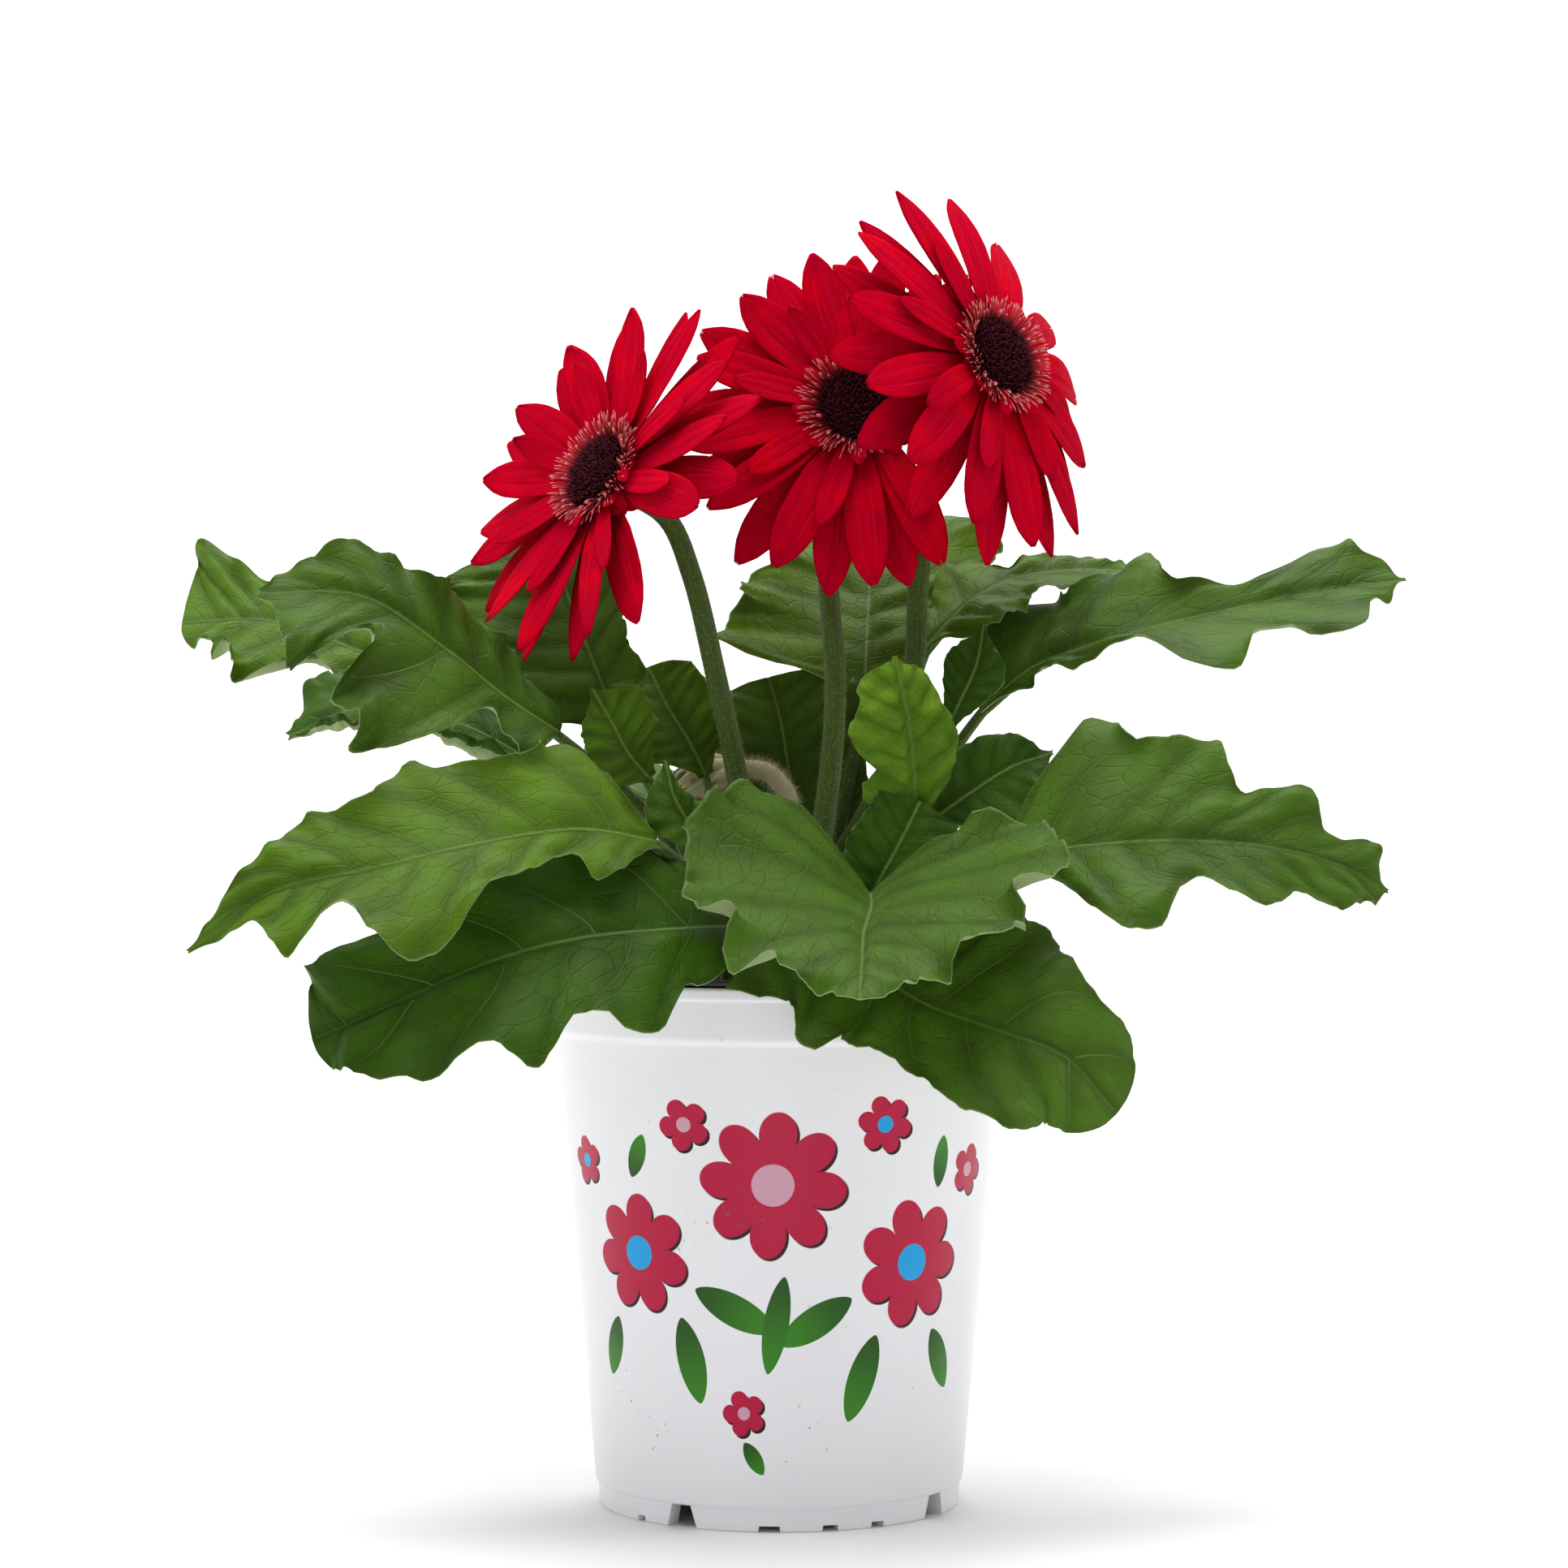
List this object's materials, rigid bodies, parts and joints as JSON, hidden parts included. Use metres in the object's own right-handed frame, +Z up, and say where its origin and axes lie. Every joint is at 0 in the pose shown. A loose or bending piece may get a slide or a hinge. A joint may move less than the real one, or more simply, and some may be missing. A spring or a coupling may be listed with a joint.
{
  "type": "potted gerbera",
  "caption": "Potted gerbera: red daisy-like flower heads on bare stalks above a rosette of lobed leaves, in a tapered white pot with a dark inner pot.",
  "frame": {"origin": "centre of the pot's footprint, on the surface it stands on", "axes": "+Z up, front of the plant towards -Y, +X to the right seen from the front"},
  "size_m": [0.442, 0.3009, 0.4636],
  "materials": {
    "pot_plastic": "smooth white moulded plastic with a printed band",
    "liner_plastic": "dark moulded plastic",
    "soil": "damp peat mix",
    "crown": "woolly leaf bases",
    "leaf_fresh": "satin young leaf, pale felted underside",
    "leaf_mid": "satin leaf, pale felted underside",
    "leaf_dark": "satin dark leaf, pale felted underside",
    "flower_stalk": "finely hairy green stalk",
    "petal": "velvety red rays",
    "flower_disc": "dark furry disc florets",
    "filament": "fine salmon-pink filaments",
    "bud": "woolly pinkish-brown bud"
  },
  "bodies": {
    "root": {"pot": "pot_plastic", "liner": "liner_plastic", "soil": "soil", "crown": "crown", "leaf_right": "leaf_mid", "leaf_right_high": "leaf_fresh", "leaf_left_high": "leaf_dark", "leaf_left_upright": "leaf_dark", "leaf_left_back": "leaf_fresh", "leaf_left_under": "leaf_dark", "leaf_left_front": "leaf_fresh", "leaf_left_low": "leaf_dark", "leaf_front": "leaf_mid", "leaf_front_right_low": "leaf_dark", "leaf_back_mid": "leaf_mid", "leaf_right_back": "leaf_fresh", "leaf_young_front": "leaf_fresh", "leaf_small_right": "leaf_dark", "leaf_inner_right": "leaf_dark", "leaf_inner_left": "leaf_fresh", "leaf_mid_left": "leaf_mid", "leaf_small_left": "leaf_mid", "leaf_mid_back": "leaf_dark", "leaf_centre_right": "leaf_dark", "leaf_back_left": "leaf_mid", "leaf_back_right": "leaf_dark", "leaf_back_high": "leaf_fresh", "leaf_back_low": "leaf_dark", "leaf_back_left_low": "leaf_dark", "scape_left": "flower_stalk", "petals_left": "petal", "disc_left": "flower_disc", "filaments_left": "filament", "scape_middle": "flower_stalk", "petals_middle": "petal", "disc_middle": "flower_disc", "filaments_middle": "filament", "scape_right": "flower_stalk", "petals_right": "petal", "disc_right": "flower_disc", "filaments_right": "filament", "bud": "bud"}
  },
  "joints": []
}
